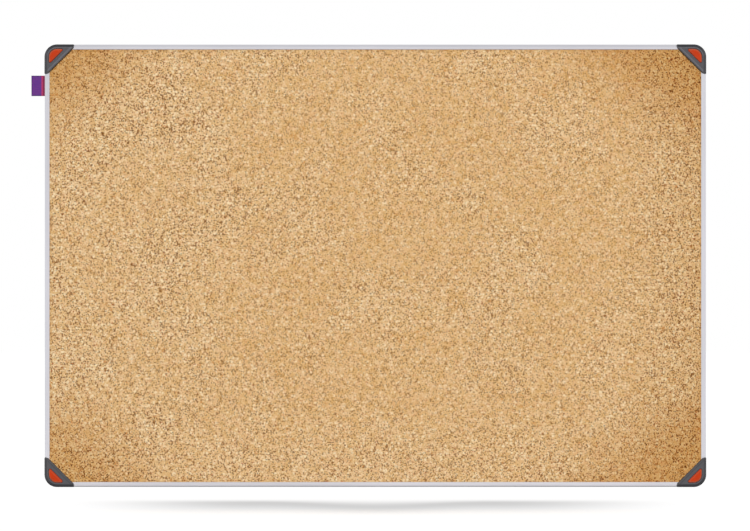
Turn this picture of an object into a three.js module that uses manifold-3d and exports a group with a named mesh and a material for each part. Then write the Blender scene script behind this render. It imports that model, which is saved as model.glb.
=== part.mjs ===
// Framed cork board for pin badges, hung on a wall by screws through its four corners.
// Units are millimetres. +X is right, +Z is up and the front faces -Y.
// The origin is the middle of the plane where the four corner bosses meet the wall.

import * as THREE from 'three';
import { mergeVertices } from 'three/addons/utils/BufferGeometryUtils.js';
import Module from 'manifold-3d';

const wasm = await Module();
wasm.setup();

// Frame, measured over the outer faces of the rails
const BOARD_WIDTH = 900;
const BOARD_HEIGHT = 602;

// Pin panel, from the front to the back
const CORK_THICKNESS = 3;
const CORE_THICKNESS = 5;
const BACKING_THICKNESS = 1;
const GLUE_LINE = 0.15;
const PANEL_CLEARANCE = 0.2;
const PANEL_EDGE_GAP = 0.8;

// Aluminium rail: an outer wall with a front lip, a middle web and a rear lip
const RAIL_WALL = 1.2;
const RAIL_WEB = 1;
const RAIL_FACE_WIDTH = 6.8;
const RAIL_FACE_EDGE_RADIUS = 0.5;
const RAIL_LIP_WIDTH = 9;
const RAIL_OUTER_RADIUS = 1.6;
const RAIL_END_GAP = 0.3;

// Steel corner key that joins two rails inside their rear channels
const KEY_THICKNESS = 2.5;
const KEY_CLEARANCE = 0.25;
const KEY_EDGE_GAP = 0.4;
const KEY_SETBACK = 1;
const KEY_END_MARGIN = 8;
const KEY_STRUT_WIDTH = 9;
const KEY_TIP_RADIUS = 1;
const KEY_CROOK_RADIUS = 4;

// Moulded corner cap
const CAP_PROUD = 0.1;
const CAP_RADIUS = 17;
const CAP_WALL = 2;
const CAP_PLATE = 2.4;
const CAP_EDGE_ROUND = 1.9;
const CAP_FACE_TIP_RADIUS = 0.3;
const CAP_TIP_WIDTH = 5;
const CAP_END_SLANT = 1.2;
const CAP_OVERLAP = 5.3;
const CAP_RIM_WALL = 1.6;
const SEAT_GAP = 0.15;
const RIM_GAP = 0.35;

// Screw well in the cap, and the cover that snaps into it
const COVER_MARGIN = 5.85;
const COVER_STRAIGHT = 10.95;
const COVER_TIP_RADIUS = 2;
const COVER_PLATE = 1.6;
const COVER_RECESS = 0.3;
const COVER_CLEARANCE = 0.25;
const COVER_EDGE_ROUND = 0.4;
const COVER_SKIRT_DEPTH = 3;
const COVER_SKIRT_WALL = 0.9;
const WELL_LEDGE = 0.7;
const WELL_WALL = 1.5;
const WELL_FLOOR = 2;
const WALL_SCREW_HOLE_RADIUS = 3;
const BOSS_WALL = 2.5;

// Fasteners
const PILLAR_RADIUS = 2.6;
const PILLAR_GAP = 0.6;
const SHOULDER_GAP = 3;
const CAP_SCREW_RADIUS = 1.4;
const CAP_SCREW_BITE = 6;
const RAIL_SCREW_RADIUS = 1.5;
const SCREW_HEAD_RADIUS = 2.7;
const SCREW_HEAD_HEIGHT = 1.9;
const SCREW_HOLE_CLEARANCE = 0.15;
const SCREW_POINT = 0.6;
const HEAD_WALL_GAP = 0.45;
const HEAD_TAG_GAP = 3;

// Woven tag, a folded ribbon glued behind the left rail
const TAG_RIBBON_WIDTH = 27.8;
const TAG_REACH = 20.4;
const TAG_TAIL = 6.5;
const TAG_BELOW_CAP = 0.4;
const TAG_CLOTH = 0.5;
const TAG_FOLD_GAP = 0.3;
const TAG_GLUE = 0.2;

// Mesh fineness
const ARC_STEP = THREE.MathUtils.degToRad(15);
const HOLE_SEGMENTS = 16;
const SCREW_SEGMENTS = 12;
const EDGE_SEGMENTS = 2;
const MERGE_TOLERANCE = 1e-4;
const SMALLEST_RADIUS = 0.3;
const BEYOND = 20;

// Depths in front of the wall plane, from the back to the front
const lipBack = SEAT_GAP + SCREW_HEAD_HEIGHT + HEAD_WALL_GAP;
const channelBack = lipBack + RAIL_WALL;
const keyBack = channelBack + KEY_CLEARANCE;
const keyFront = keyBack + KEY_THICKNESS;
const channelFront = keyFront + KEY_CLEARANCE;
const slotBack = channelFront + RAIL_WEB;
const backingBack = slotBack + PANEL_CLEARANCE;
const backingFront = backingBack + BACKING_THICKNESS;
const coreBack = backingFront + GLUE_LINE;
const coreFront = coreBack + CORE_THICKNESS;
const corkBack = coreFront + GLUE_LINE;
const corkFront = corkBack + CORK_THICKNESS;
const slotFront = corkFront + PANEL_CLEARANCE;
const railFront = slotFront + RAIL_WALL;
const capBack = railFront + SEAT_GAP;
const capFront = capBack + CAP_PLATE;
const coverFront = capFront - COVER_RECESS;
const coverBack = coverFront - COVER_PLATE;
const ledgeFront = coverBack - SEAT_GAP;
const wellBack = keyFront + SEAT_GAP;
const wellFloor = wellBack + WELL_FLOOR;

// Distances from the middle of the board to the outer faces of the rails
const halfWidth = BOARD_WIDTH / 2;
const halfHeight = BOARD_HEIGHT / 2;

// Places in a corner's own plane, measured inwards from the outer faces of its two rails
const arcCentre = CAP_RADIUS - CAP_PROUD;
const capInside = CAP_WALL - CAP_PROUD;
const coverEdge = COVER_MARGIN - CAP_PROUD;
const coverNoseRadius = CAP_RADIUS - COVER_MARGIN;
const coverSum = 2 * coverEdge + coverNoseRadius + COVER_STRAIGHT;
const coverNear = (2 * arcCentre - coverSum) / Math.SQRT2;
const bossPlace = arcCentre - (coverNear + coverNoseRadius) / 2 / Math.SQRT2;
const bossRadius = WALL_SCREW_HOLE_RADIUS + BOSS_WALL;
const coverTipTurn = THREE.MathUtils.degToRad(45) / 2;
const coverTip = coverSum - coverEdge - COVER_TIP_RADIUS * (1 / Math.tan(coverTipTurn) - 1);
const pillarAlong = coverTip + WELL_WALL + PILLAR_GAP + PILLAR_RADIUS;
const pillarIn = capInside + PILLAR_GAP + PILLAR_RADIUS;
const pillars = [[pillarAlong, pillarIn], [pillarIn, pillarAlong]];
const capShoulder = pillarAlong + PILLAR_RADIUS + SHOULDER_GAP;
const railEnd = capShoulder + RAIL_END_GAP;
const capReach = capShoulder + CAP_OVERLAP;
const capTip = capReach - CAP_END_SLANT;
const capSum = capTip + CAP_TIP_WIDTH;
const capTipRadius = CAP_EDGE_ROUND + CAP_FACE_TIP_RADIUS;
const panelClip = pillarAlong + pillarIn + (PILLAR_RADIUS + PILLAR_GAP) * Math.SQRT2;
const panelInset = RAIL_WALL + PANEL_EDGE_GAP;
const keyEdge = Math.max(RAIL_WALL, capInside) + KEY_EDGE_GAP;
const keyInner = RAIL_LIP_WIDTH - KEY_SETBACK;
const keyHoleRadius = bossRadius + KEY_EDGE_GAP;
const keySum = 2 * bossPlace + (keyHoleRadius + KEY_STRUT_WIDTH) * Math.SQRT2;
const railScrewIn = (keyEdge + keyInner) / 2;
const tagTop = capReach + TAG_BELOW_CAP;
const tagBottom = tagTop + TAG_RIBBON_WIDTH;
const railScrewAlong = tagBottom + HEAD_TAG_GAP + SCREW_HEAD_RADIUS;
const keyReach = railScrewAlong + KEY_END_MARGIN;

function material(color, roughness, metalness) {
  return new THREE.MeshStandardMaterial({ color, roughness, metalness });
}

const CORK = material(0xd2a977, 0.9, 0);
const SOFTBOARD = material(0xa98b66, 0.95, 0);
const KRAFT = material(0x9a7550, 0.9, 0);
const ALUMINIUM = material(0xd8d8de, 0.35, 0.9);
const GREY_PLASTIC = material(0x58585c, 0.5, 0);
const ORANGE_PLASTIC = material(0xc94420, 0.4, 0);
const ZINC_STEEL = material(0xb9bcc0, 0.35, 0.9);
const PURPLE_CLOTH = material(0x6e3e8e, 0.85, 0);

// Outline points through [x, y, radius] corners, listed anticlockwise, each rounded by its radius.
function roundedOutline(corners) {
  const points = [];
  corners.forEach(([x, y, radius], index) => {
    const corner = new THREE.Vector2(x, y);
    const [beforeX, beforeY] = corners.at(index - 1);
    const [afterX, afterY] = corners[(index + 1) % corners.length];
    const toBefore = new THREE.Vector2(beforeX, beforeY).sub(corner).normalize();
    const toAfter = new THREE.Vector2(afterX, afterY).sub(corner).normalize();
    const half = Math.acos(toBefore.dot(toAfter)) / 2;
    const bulges = toAfter.cross(toBefore) > 0 ? 1 : -1;
    const sweep = (Math.PI - 2 * half) * bulges;
    const steps = radius > 0 ? Math.max(1, Math.round(Math.abs(sweep) / ARC_STEP)) : 0;
    const middle = toBefore.clone().add(toAfter).normalize();
    const centre = corner.clone().addScaledVector(middle, radius / Math.sin(half));
    const start = corner.clone().addScaledVector(toBefore, radius / Math.tan(half));
    for (let step = 0; step <= steps; step += 1) {
      const turn = steps ? (sweep * step) / steps : 0;
      points.push(start.clone().rotateAround(centre, turn));
    }
  });
  return points;
}

// A prism of an outline drawn in the X-Z plane, between two depths in front of the wall.
function prism(outline, back, front, hole = null) {
  const shape = new THREE.Shape(outline);
  if (hole) {
    shape.holes.push(new THREE.Path(hole));
  }
  const geometry = new THREE.ExtrudeGeometry(shape, { depth: front - back, bevelEnabled: false });
  return geometry.rotateX(Math.PI / 2).translate(0, -back, 0);
}

// The same prism with the edges of its back and front faces rounded.
function softPrism(outline, back, front, round) {
  const geometry = new THREE.ExtrudeGeometry(new THREE.Shape(outline), {
    depth: front - back - 2 * round,
    bevelThickness: round,
    bevelSize: round,
    bevelOffset: -round,
    bevelSegments: EDGE_SEGMENTS,
  });
  return geometry.rotateX(Math.PI / 2).translate(0, -back - round, 0);
}

// A round bar or drill along the depth, at a place in the X-Z plane.
function bar(radius, x, z, back, front) {
  const geometry = new THREE.CylinderGeometry(radius, radius, front - back, HOLE_SEGMENTS);
  return geometry.translate(x, -(back + front) / 2, z);
}

// A closed geometry as a solid that can be joined and cut.
function solidOf(geometry) {
  geometry.deleteAttribute('normal');
  geometry.deleteAttribute('uv');
  const merged = mergeVertices(geometry, MERGE_TOLERANCE);
  const triVerts = new Uint32Array(merged.index.array);
  const vertProperties = merged.attributes.position.array;
  return new wasm.Manifold(new wasm.Mesh({ numProp: 3, vertProperties, triVerts }));
}

// A solid's surface as a geometry.
function geometryOf(solid) {
  const mesh = solid.getMesh();
  const geometry = new THREE.BufferGeometry();
  geometry.setAttribute('position', new THREE.BufferAttribute(mesh.vertProperties, 3));
  geometry.setIndex(new THREE.BufferAttribute(mesh.triVerts, 1));
  geometry.computeVertexNormals();
  return geometry;
}

// A first geometry with others joined to it and others cut from the result.
function build(first, { join = [], cut = [] }) {
  const joined = join.reduce((solid, piece) => solid.add(solidOf(piece)), solidOf(first));
  return geometryOf(cut.reduce((solid, piece) => solid.subtract(solidOf(piece)), joined));
}

function namedMesh(name, geometry, finish) {
  const mesh = new THREE.Mesh(geometry, finish);
  mesh.name = name;
  return mesh;
}

// One layer of the panel: a sheet with its corners clipped off behind the caps.
function panelSheet(back, front) {
  const x = halfWidth - panelInset;
  const z = halfHeight - panelInset;
  const clip = panelClip - 2 * panelInset;
  const outline = roundedOutline([
    [x, z - clip, 0],
    [x - clip, z, 0],
    [clip - x, z, 0],
    [-x, z - clip, 0],
    [-x, clip - z, 0],
    [clip - x, -z, 0],
    [x - clip, -z, 0],
    [x, clip - z, 0],
  ]);
  return prism(outline, back, front);
}

// The rail's section as [inwards, forwards] corners.
function railSection() {
  return roundedOutline([
    [0, lipBack, SMALLEST_RADIUS],
    [RAIL_LIP_WIDTH, lipBack, 0],
    [RAIL_LIP_WIDTH, channelBack, 0],
    [RAIL_WALL, channelBack, 0],
    [RAIL_WALL, channelFront, 0],
    [RAIL_LIP_WIDTH, channelFront, 0],
    [RAIL_LIP_WIDTH, slotBack, 0],
    [RAIL_WALL, slotBack, 0],
    [RAIL_WALL, slotFront, 0],
    [RAIL_FACE_WIDTH, slotFront, 0],
    [RAIL_FACE_WIDTH, railFront, RAIL_FACE_EDGE_RADIUS],
    [0, railFront, RAIL_OUTER_RADIUS],
  ]);
}

// A rail along X as it lies at the bottom of the frame, with a screw hole in its rear lip at each end.
function railGeometry(length, screwPlaces) {
  const section = new THREE.Shape(railSection());
  const bare = new THREE.ExtrudeGeometry(section, { depth: length, bevelEnabled: false });
  const inwards = new THREE.Vector3(0, 0, 1);
  const forwards = new THREE.Vector3(0, -1, 0);
  const along = new THREE.Vector3(1, 0, 0);
  bare.applyMatrix4(new THREE.Matrix4().makeBasis(inwards, forwards, along));
  bare.translate(-length / 2, 0, 0);
  const radius = RAIL_SCREW_RADIUS + SCREW_HOLE_CLEARANCE;
  const drillFront = (channelBack + keyBack) / 2;
  const drills = screwPlaces.map((x) => bar(radius, x, railScrewIn, lipBack - BEYOND, drillFront));
  return build(bare, { cut: drills });
}

// A pan-head screw along the depth: its head's seat is at y = 0 and its shank points to the front.
function screwGeometry(radius, shank) {
  const crown = SCREW_HEAD_HEIGHT / 2;
  const profile = [
    new THREE.Vector2(0, -shank),
    new THREE.Vector2(radius - SCREW_POINT, -shank),
    new THREE.Vector2(radius, SCREW_POINT - shank),
    new THREE.Vector2(radius, 0),
    new THREE.Vector2(SCREW_HEAD_RADIUS, 0),
    new THREE.Vector2(SCREW_HEAD_RADIUS, crown),
    new THREE.Vector2(SCREW_HEAD_RADIUS - crown, SCREW_HEAD_HEIGHT),
    new THREE.Vector2(0, SCREW_HEAD_HEIGHT),
  ];
  return new THREE.LatheGeometry(profile, SCREW_SEGMENTS);
}

// The screw cover's outline, moved inwards by an inset: two straight sides, a round nose and a diagonal.
function coverOutline(inset) {
  const edge = coverEdge + inset;
  const tip = coverSum - inset * Math.SQRT2 - edge;
  const tipRadius = Math.max(COVER_TIP_RADIUS - inset, SMALLEST_RADIUS);
  return roundedOutline([
    [edge, edge, coverNoseRadius - inset],
    [tip, edge, tipRadius],
    [edge, tip, tipRadius],
  ]);
}

// The cap's outer outline: a round corner, two legs along the rails and a diagonal over the cork.
function capOutline() {
  return roundedOutline([
    [-CAP_PROUD, -CAP_PROUD, CAP_RADIUS],
    [capReach, -CAP_PROUD, capTipRadius],
    [capTip, CAP_TIP_WIDTH, capTipRadius],
    [CAP_TIP_WIDTH, capTip, capTipRadius],
    [-CAP_PROUD, capReach, capTipRadius],
  ]);
}

// A box between two depths.
function block(x0, x1, z0, z1, back, front) {
  const outline = roundedOutline([[x0, z0, 0], [x1, z0, 0], [x1, z1, 0], [x0, z1, 0]]);
  return prism(outline, back, front);
}

// The cap, open at the back: a front plate and skirt with a screw well, a wall boss and two screw pillars.
function capGeometry() {
  const far = capReach + BEYOND;
  const rimBack = corkFront + RIM_GAP;
  const rimSide = RAIL_FACE_WIDTH + RIM_GAP;
  const rimOuter = capSum - CAP_EDGE_ROUND * Math.SQRT2 - rimSide;
  const rimInner = rimOuter - CAP_RIM_WALL * Math.SQRT2;
  const rim = roundedOutline([
    [rimInner, rimSide, 0],
    [rimOuter, rimSide, 0],
    [rimSide, rimOuter, 0],
    [rimSide, rimInner, 0],
  ]);
  const hollow = roundedOutline([
    [capInside, capInside, CAP_RADIUS - CAP_WALL],
    [far, capInside, 0],
    [far, far, 0],
    [capInside, far, 0],
  ]);
  const shell = build(softPrism(capOutline(), -BEYOND, capFront, CAP_EDGE_ROUND), {
    cut: [
      block(-BEYOND, far, -BEYOND, far, -2 * BEYOND, 0),
      prism(hollow, -BEYOND, capBack),
      block(capShoulder, far, -BEYOND, far, -BEYOND, capBack),
      block(-BEYOND, far, capShoulder, far, -BEYOND, capBack),
    ],
  });
  const inPlate = (capBack + capFront) / 2;
  const pilotRadius = CAP_SCREW_RADIUS + SCREW_HOLE_CLEARANCE;
  const pilotFront = keyFront + CAP_SCREW_BITE + SCREW_POINT;
  return build(shell, {
    join: [
      prism(rim, rimBack, inPlate),
      prism(coverOutline(-WELL_WALL), wellBack, inPlate),
      bar(bossRadius, bossPlace, bossPlace, 0, wellFloor),
      ...pillars.map(([x, z]) => bar(PILLAR_RADIUS, x, z, wellBack, inPlate)),
    ],
    cut: [
      prism(coverOutline(0), ledgeFront, capFront + BEYOND),
      prism(coverOutline(WELL_LEDGE), wellFloor, capFront),
      bar(WALL_SCREW_HOLE_RADIUS, bossPlace, bossPlace, -BEYOND, capFront),
      ...pillars.map(([x, z]) => bar(pilotRadius, x, z, 0, pilotFront)),
    ],
  });
}

// The cover that hides the wall screw: a plate in the cap's recess with a hollow skirt in the well.
function coverGeometry() {
  const skirtOut = coverOutline(WELL_LEDGE + COVER_CLEARANCE);
  const skirtIn = coverOutline(WELL_LEDGE + COVER_CLEARANCE + COVER_SKIRT_WALL);
  const skirt = prism(skirtOut, coverBack - COVER_SKIRT_DEPTH, (coverBack + coverFront) / 2, skirtIn);
  const plate = softPrism(coverOutline(COVER_CLEARANCE), coverBack, coverFront, COVER_EDGE_ROUND);
  return build(plate, { join: [skirt] });
}

// The corner key: a flat plate with a leg for each rail, a hole for the boss and a strut across the corner.
function keyGeometry() {
  const outline = roundedOutline([
    [keyEdge, keyEdge, arcCentre - keyEdge],
    [keyReach, keyEdge, KEY_TIP_RADIUS],
    [keyReach, keyInner, KEY_TIP_RADIUS],
    [keySum - keyInner, keyInner, KEY_CROOK_RADIUS],
    [keyInner, keySum - keyInner, KEY_CROOK_RADIUS],
    [keyInner, keyReach, KEY_TIP_RADIUS],
    [keyEdge, keyReach, KEY_TIP_RADIUS],
  ]);
  const drill = (radius, x, z) => bar(radius, x, z, keyBack - BEYOND, keyFront + BEYOND);
  const capScrewHole = CAP_SCREW_RADIUS + SCREW_HOLE_CLEARANCE;
  const railScrewHole = RAIL_SCREW_RADIUS + SCREW_HOLE_CLEARANCE;
  return build(prism(outline, keyBack, keyFront), {
    cut: [
      drill(keyHoleRadius, bossPlace, bossPlace),
      ...pillars.map(([x, z]) => drill(capScrewHole, x, z)),
      drill(railScrewHole, railScrewAlong, railScrewIn),
      drill(railScrewHole, railScrewIn, railScrewAlong),
    ],
  });
}

// The tag: a ribbon folded in two, with its fold outside the frame and its ends behind the left rail.
function tagGeometry() {
  const thickness = 2 * TAG_CLOTH + TAG_FOLD_GAP;
  const outer = thickness / 2;
  const slit = TAG_FOLD_GAP / 2;
  const section = roundedOutline([
    [-TAG_REACH, -outer, outer - SMALLEST_RADIUS / 2],
    [TAG_TAIL, -outer, 0],
    [TAG_TAIL, -slit, 0],
    [TAG_CLOTH - TAG_REACH, -slit, 0],
    [TAG_CLOTH - TAG_REACH, slit, 0],
    [TAG_TAIL, slit, 0],
    [TAG_TAIL, outer, 0],
    [-TAG_REACH, outer, outer - SMALLEST_RADIUS / 2],
  ]);
  const shape = new THREE.Shape(section);
  const geometry = new THREE.ExtrudeGeometry(shape, { depth: TAG_RIBBON_WIDTH, bevelEnabled: false });
  return geometry.translate(0, outer + TAG_GLUE - lipBack, -TAG_RIBBON_WIDTH / 2);
}

const board = new THREE.Group();

// Panel layers
board.add(namedMesh('cork_sheet', panelSheet(corkBack, corkFront), CORK));
board.add(namedMesh('softboard_core', panelSheet(coreBack, coreFront), SOFTBOARD));
board.add(namedMesh('backing_board', panelSheet(backingBack, backingFront), KRAFT));

// Rails, each with the two screws that hold its ends to the corner keys
const quarter = Math.PI / 2;
const sides = [
  { name: 'bottom', turn: 0, x: 0, z: -halfHeight, span: BOARD_WIDTH, ends: ['left', 'right'] },
  { name: 'right', turn: -quarter, x: halfWidth, z: 0, span: BOARD_HEIGHT, ends: ['bottom', 'top'] },
  { name: 'top', turn: 2 * quarter, x: 0, z: halfHeight, span: BOARD_WIDTH, ends: ['right', 'left'] },
  { name: 'left', turn: quarter, x: -halfWidth, z: 0, span: BOARD_HEIGHT, ends: ['top', 'bottom'] },
];
const railScrewShape = screwGeometry(RAIL_SCREW_RADIUS, keyFront - lipBack);
for (const { name, turn, x, z, span, ends } of sides) {
  const side = new THREE.Group();
  const screwPlaces = [railScrewAlong - span / 2, span / 2 - railScrewAlong];
  side.add(namedMesh(`${name}_rail`, railGeometry(span - 2 * railEnd, screwPlaces), ALUMINIUM));
  screwPlaces.forEach((along, index) => {
    const screw = namedMesh(`${name}_rail_screw_${ends[index]}`, railScrewShape, ZINC_STEEL);
    screw.position.set(along, SEAT_GAP - lipBack, railScrewIn);
    side.add(screw);
  });
  side.position.set(x, 0, z);
  side.rotation.y = turn;
  board.add(side);
}

// Corners, each with its key, cap, cover and the two screws that hold the cap to the key
const corners = [
  { name: 'bottom_left', turn: 0, right: -1, up: -1 },
  { name: 'bottom_right', turn: -quarter, right: 1, up: -1 },
  { name: 'top_right', turn: 2 * quarter, right: 1, up: 1 },
  { name: 'top_left', turn: quarter, right: -1, up: 1 },
];
const keyShape = keyGeometry();
const capShape = capGeometry();
const coverShape = coverGeometry();
const capScrewShape = screwGeometry(CAP_SCREW_RADIUS, KEY_THICKNESS + SEAT_GAP + CAP_SCREW_BITE);
for (const { name, turn, right, up } of corners) {
  const corner = new THREE.Group();
  corner.add(namedMesh(`corner_key_${name}`, keyShape, ZINC_STEEL));
  corner.add(namedMesh(`corner_cap_${name}`, capShape, GREY_PLASTIC));
  corner.add(namedMesh(`screw_cover_${name}`, coverShape, ORANGE_PLASTIC));
  pillars.forEach(([x, z], index) => {
    const screw = namedMesh(`cap_screw_${name}_${index + 1}`, capScrewShape, ZINC_STEEL);
    screw.position.set(x, SEAT_GAP - keyBack, z);
    corner.add(screw);
  });
  corner.position.set(right * halfWidth, 0, up * halfHeight);
  corner.rotation.y = turn;
  board.add(corner);
}

// Tag
const tag = namedMesh('woven_tag', tagGeometry(), PURPLE_CLOTH);
tag.position.set(-halfWidth, 0, halfHeight - (tagTop + tagBottom) / 2);
board.add(tag);

export default board;
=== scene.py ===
"""Looks of a framed cork board for pin badges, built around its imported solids.

The three sheets of the pin panel keep their solids and get finishes of their own. The rails, the corner
pieces, the screws and the cloth tag are made again here with finer edges, each in the place of its solid.
Lengths are in metres. +X is right, +Z is up, the front faces -Y and the wall plane is y = 0.
"""

import logging
import math
import random
from abc import ABC, abstractmethod
from collections.abc import Iterable, Mapping, Sequence
from dataclasses import dataclass, replace
from enum import Enum
from functools import cache

import bmesh
import bpy
from mathutils import Matrix, Vector


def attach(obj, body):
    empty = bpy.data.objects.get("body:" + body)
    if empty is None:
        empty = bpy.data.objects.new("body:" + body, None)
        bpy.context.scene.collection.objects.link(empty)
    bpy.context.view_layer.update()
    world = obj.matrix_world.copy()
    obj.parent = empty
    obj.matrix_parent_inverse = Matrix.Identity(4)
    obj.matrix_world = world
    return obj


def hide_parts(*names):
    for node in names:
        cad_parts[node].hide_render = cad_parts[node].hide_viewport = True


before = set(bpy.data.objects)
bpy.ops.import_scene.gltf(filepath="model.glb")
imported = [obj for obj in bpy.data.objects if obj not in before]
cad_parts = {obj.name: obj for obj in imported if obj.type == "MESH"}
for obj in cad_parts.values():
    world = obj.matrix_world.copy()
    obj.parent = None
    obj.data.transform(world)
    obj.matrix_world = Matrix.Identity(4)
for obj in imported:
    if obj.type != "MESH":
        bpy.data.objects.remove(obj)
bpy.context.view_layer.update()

LOG = logging.getLogger("pin_board")
MM = 0.001
QUARTER_TURN = math.pi / 2
ARC_STEP = math.radians(6)
ARC_SLACK = 0.25
LEAST_ARC_STEPS = 2
LEAST_RADIUS = 0.04 * MM
MERGE_DISTANCE = 0.0005 * MM
SMOOTH_ANGLE = math.radians(32)
BEYOND = 20 * MM

Colour = tuple[float, float, float, float]
Pair = tuple[float, float]
Profile = Sequence[Pair]


def srgb(red: int, green: int, blue: int) -> Colour:
    """A screen colour of 0 to 255 as the linear colour that shaders take.

    Args:
        red: Screen level of red.
        green: Screen level of green.
        blue: Screen level of blue.

    Returns:
        Linear red, green, blue and an alpha of one.
    """
    levels = [level / 255 for level in (red, green, blue)]
    linear = [level / 12.92 if level <= 0.04045 else ((level + 0.055) / 1.055) ** 2.4 for level in levels]
    return (linear[0], linear[1], linear[2], 1.0)


class Wire:
    """A socket's value inside a shader: arithmetic on it adds Math nodes."""

    def __init__(self, graph: "Graph", socket: bpy.types.NodeSocket) -> None:
        """Keeps the graph and the output socket."""
        self.graph = graph
        self.socket = socket

    def output(self, name: str | int) -> "Wire":
        """Another output of the same node."""
        return Wire(self.graph, self.socket.node.outputs[name])

    def math(self, operation: str, *values: "Wire | float") -> "Wire":
        """A Math node over the given values."""
        return self.graph.add("ShaderNodeMath", {"operation": operation}, dict(enumerate(values)))

    def __add__(self, other: "Wire | float") -> "Wire":
        """Sum."""
        return self.math("ADD", self, other)

    def __radd__(self, other: float) -> "Wire":
        """Sum, reflected."""
        return self.math("ADD", other, self)

    def __sub__(self, other: "Wire | float") -> "Wire":
        """Difference."""
        return self.math("SUBTRACT", self, other)

    def __rsub__(self, other: float) -> "Wire":
        """Difference, reflected."""
        return self.math("SUBTRACT", other, self)

    def __mul__(self, other: "Wire | float") -> "Wire":
        """Product."""
        return self.math("MULTIPLY", self, other)

    def __rmul__(self, other: float) -> "Wire":
        """Product, reflected."""
        return self.math("MULTIPLY", other, self)

    def __truediv__(self, other: "Wire | float") -> "Wire":
        """Quotient."""
        return self.math("DIVIDE", self, other)

    def __rtruediv__(self, other: float) -> "Wire":
        """Quotient, reflected."""
        return self.math("DIVIDE", other, self)

    def __abs__(self) -> "Wire":
        """Size without its sign."""
        return self.math("ABSOLUTE", self)

    def sine(self) -> "Wire":
        """Sine of the value in radians."""
        return self.math("SINE", self)

    def rise(self, low: float, high: float) -> "Wire":
        """A mask that rises smoothly from 0 at low to 1 at high.

        Args:
            low: Value at which the mask is 0.
            high: Value at which the mask is 1. It may be below low, for a mask that falls.

        Returns:
            The mask.
        """
        settings = {"interpolation_type": "SMOOTHSTEP"}
        if low < high:
            return self.graph.add("ShaderNodeMapRange", settings, {0: self, 1: low, 2: high})
        return self.graph.add("ShaderNodeMapRange", settings, {0: self, 1: high, 2: low, 3: 1.0, 4: 0.0})


Value = Wire | float | tuple[float, ...]


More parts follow.
